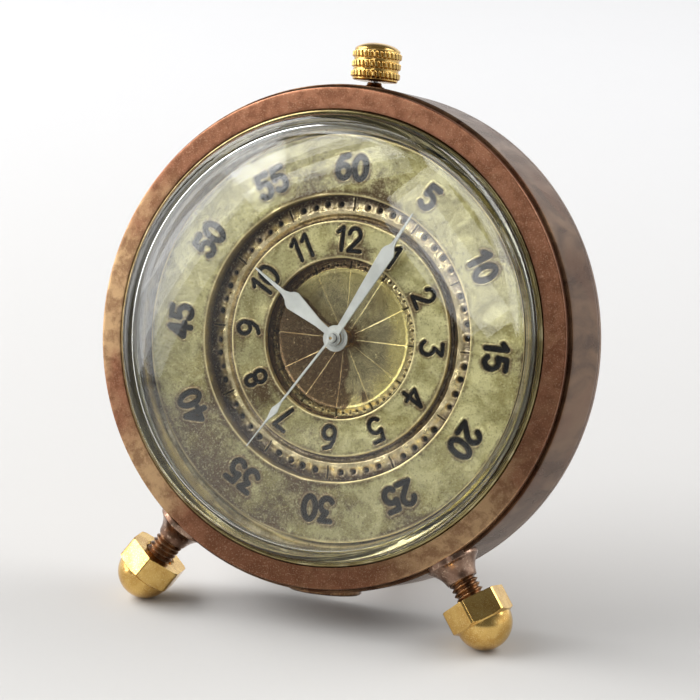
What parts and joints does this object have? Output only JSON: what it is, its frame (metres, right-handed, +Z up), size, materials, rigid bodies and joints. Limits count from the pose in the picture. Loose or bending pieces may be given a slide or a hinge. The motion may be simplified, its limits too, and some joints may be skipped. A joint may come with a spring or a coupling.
{
  "type": "table alarm clock",
  "caption": "Round drum table clock leaning back on three acorn-nut feet, with a layered brass dial, three hands, a domed crystal and a winding crown at twelve.",
  "frame": {"origin": "middle of the clock's footprint, on the surface that it stands on", "axes": "+Z up, the dial faces -Y and leans back 14.9 degrees, +X to the right seen from the front"},
  "size_m": [0.069, 0.0354, 0.0768],
  "materials": {
    "bezel_copper": "satin brown-red copper, lightly grained",
    "case_copper": "polished purple-brown copper patina",
    "dial_brass": "hand-worked greenish brass with brown mottling",
    "dial_base": "dark brown copper patina",
    "ring_brass": "aged brass",
    "dark_brass": "dark oxidised brass",
    "gold_brass": "polished yellow brass",
    "movement_gilt": "gilt wheels",
    "movement_plate": "grained rhodium plate",
    "steel": "polished steel",
    "blue_steel": "blued steel",
    "hand_white": "matt off-white paint",
    "crystal": "clear domed glass"
  },
  "bodies": {
    "case": {"case_band": "case_copper", "bezel": "bezel_copper", "crystal_ring": "ring_brass", "crystal": "crystal", "back_cover": "case_copper", "back_screw_1": "steel", "back_screw_2": "steel", "back_screw_3": "steel", "back_screw_4": "steel", "leg_boss_left": "dark_brass", "leg_stud_left": "dark_brass", "acorn_nut_left": "gold_brass", "leg_boss_right": "dark_brass", "leg_stud_right": "dark_brass", "acorn_nut_right": "gold_brass", "leg_boss_rear": "dark_brass", "leg_stud_rear": "dark_brass", "acorn_nut_rear": "gold_brass", "bottom_plug": "dark_brass", "dial_plate": "dial_base", "outer_chapter_ring": "dial_brass", "inner_chapter_ring": "dial_brass", "movement_ring": "movement_plate", "main_plate": "movement_plate", "barrel_bridge": "movement_plate", "train_bridge": "movement_plate", "balance_cock": "movement_plate", "bridge_screw_1": "blue_steel", "bridge_screw_2": "blue_steel", "bridge_screw_3": "blue_steel", "bridge_screw_4": "blue_steel", "bridge_screw_5": "blue_steel", "crown_tube": "dark_brass"},
    "minute_hand": {"minute_hand": "hand_white", "cannon_pinion": "steel", "centre_wheel": "movement_gilt"},
    "hour_hand": {"hour_hand": "hand_white", "hour_wheel": "movement_gilt"},
    "minute_wheel": {"minute_wheel": "movement_gilt"},
    "third_wheel": {"third_wheel": "movement_gilt"},
    "second_hand": {"second_hand": "hand_white", "fourth_wheel": "movement_gilt"},
    "barrel": {"mainspring_barrel": "movement_gilt", "barrel_cover": "movement_gilt", "mainspring": "blue_steel"},
    "escape_wheel": {"escape_wheel": "steel"},
    "pallet_fork": {"pallet_fork": "steel"},
    "balance": {"balance_wheel": "movement_gilt", "hairspring": "blue_steel"},
    "setting_lever": {"setting_lever": "steel"},
    "crown": {"crown": "gold_brass", "winding_stem": "steel"},
    "yoke": {"yoke": "steel"},
    "sliding_pinion": {"sliding_pinion": "steel"},
    "winding_pinion": {"winding_pinion": "steel"},
    "winding_wheel": {"winding_wheel": "steel"},
    "barrel_arbor": {"barrel_arbor": "steel"},
    "click": {"click": "steel"}
  },
  "joints": [
    {"name": "minute_hand_turn", "type": "hinge", "parent": "case", "child": "minute_hand", "pos_m": [0, 0.00129, 0.03657], "axis": [0, 0.9664, -0.2571], "continuous": true},
    {"name": "hour_hand_turn", "type": "hinge", "parent": "case", "child": "hour_hand", "pos_m": [0, 0.00129, 0.03657], "axis": [0, 0.9664, -0.2571], "continuous": true},
    {"name": "minute_wheel_turn", "type": "hinge", "parent": "case", "child": "minute_wheel", "pos_m": [0.0018, 0.00209, 0.03958], "axis": [0, 0.9664, -0.2571], "continuous": true},
    {"name": "third_wheel_turn", "type": "hinge", "parent": "case", "child": "third_wheel", "pos_m": [0.00472, 0.00044, 0.03337], "axis": [0, 0.9664, -0.2571], "continuous": true},
    {"name": "second_hand_turn", "type": "hinge", "parent": "case", "child": "second_hand", "pos_m": [0, 0.00129, 0.03657], "axis": [0, 0.9664, -0.2571], "continuous": true},
    {"name": "barrel_turn", "type": "hinge", "parent": "case", "child": "barrel", "pos_m": [-0.00287, 0.00332, 0.04419], "axis": [0, 0.9664, -0.2571], "continuous": true},
    {"name": "escape_wheel_turn", "type": "hinge", "parent": "case", "child": "escape_wheel", "pos_m": [-0.00194, -0.00008, 0.03143], "axis": [0, 0.9664, -0.2571], "continuous": true},
    {"name": "pallet_fork_swing", "type": "hinge", "parent": "case", "child": "pallet_fork", "pos_m": [-0.00296, -0.00081, 0.0287], "axis": [0, 0.9664, -0.2571], "range_deg": [-5, 5]},
    {"name": "balance_swing", "type": "hinge", "parent": "case", "child": "balance", "pos_m": [-0.0046, -0.00197, 0.02434], "axis": [0, 0.9664, -0.2571], "range_deg": [-220, 220], "stiffness_Nm_per_rad": 0.00000017},
    {"name": "crown_pull", "type": "slide", "parent": "case", "child": "setting_lever", "axis": [0, 0.2571, 0.9664], "range_m": [0, 0.0006]},
    {"name": "crown_turn", "type": "hinge", "parent": "setting_lever", "child": "crown", "pos_m": [0, 0.00395, 0.05242], "axis": [0, 0.2571, 0.9664], "continuous": true},
    {"name": "yoke_shift", "type": "slide", "parent": "case", "child": "yoke", "axis": [0, 0.2571, 0.9664], "range_m": [-0.0006, 0]},
    {"name": "sliding_pinion_turn", "type": "hinge", "parent": "yoke", "child": "sliding_pinion", "pos_m": [0, 0.00395, 0.05242], "axis": [0, 0.2571, 0.9664], "continuous": true},
    {"name": "winding_pinion_turn", "type": "hinge", "parent": "case", "child": "winding_pinion", "pos_m": [0, 0.00395, 0.05242], "axis": [0, 0.2571, 0.9664], "continuous": true},
    {"name": "winding_wheel_turn", "type": "hinge", "parent": "case", "child": "winding_wheel", "pos_m": [0, 0.00461, 0.04906], "axis": [0, 0.9664, -0.2571], "continuous": true},
    {"name": "barrel_arbor_turn", "type": "hinge", "parent": "case", "child": "barrel_arbor", "pos_m": [-0.00287, 0.00332, 0.04419], "axis": [0, 0.9664, -0.2571], "continuous": true},
    {"name": "click_lift", "type": "hinge", "parent": "case", "child": "click", "pos_m": [-0.00707, 0.00301, 0.04303], "axis": [0, 0.9664, -0.2571], "range_deg": [-12, 0]}
  ],
  "couplings": [
    {"joint": "hour_hand_turn", "follows": "minute_hand_turn", "ratio": 0.083333},
    {"joint": "minute_wheel_turn", "follows": "minute_hand_turn", "ratio": -0.33333},
    {"joint": "third_wheel_turn", "follows": "minute_hand_turn", "ratio": -8},
    {"joint": "second_hand_turn", "follows": "minute_hand_turn", "ratio": 60},
    {"joint": "barrel_turn", "follows": "minute_hand_turn", "ratio": -0.16667},
    {"joint": "escape_wheel_turn", "follows": "minute_hand_turn", "ratio": -600},
    {"joint": "yoke_shift", "follows": "crown_pull", "ratio": -1},
    {"joint": "sliding_pinion_turn", "follows": "crown_turn", "ratio": 1},
    {"joint": "winding_pinion_turn", "follows": "crown_turn", "ratio": 1},
    {"joint": "winding_wheel_turn", "follows": "crown_turn", "ratio": -0.33333},
    {"joint": "barrel_arbor_turn", "follows": "crown_turn", "ratio": 0.35714}
  ]
}
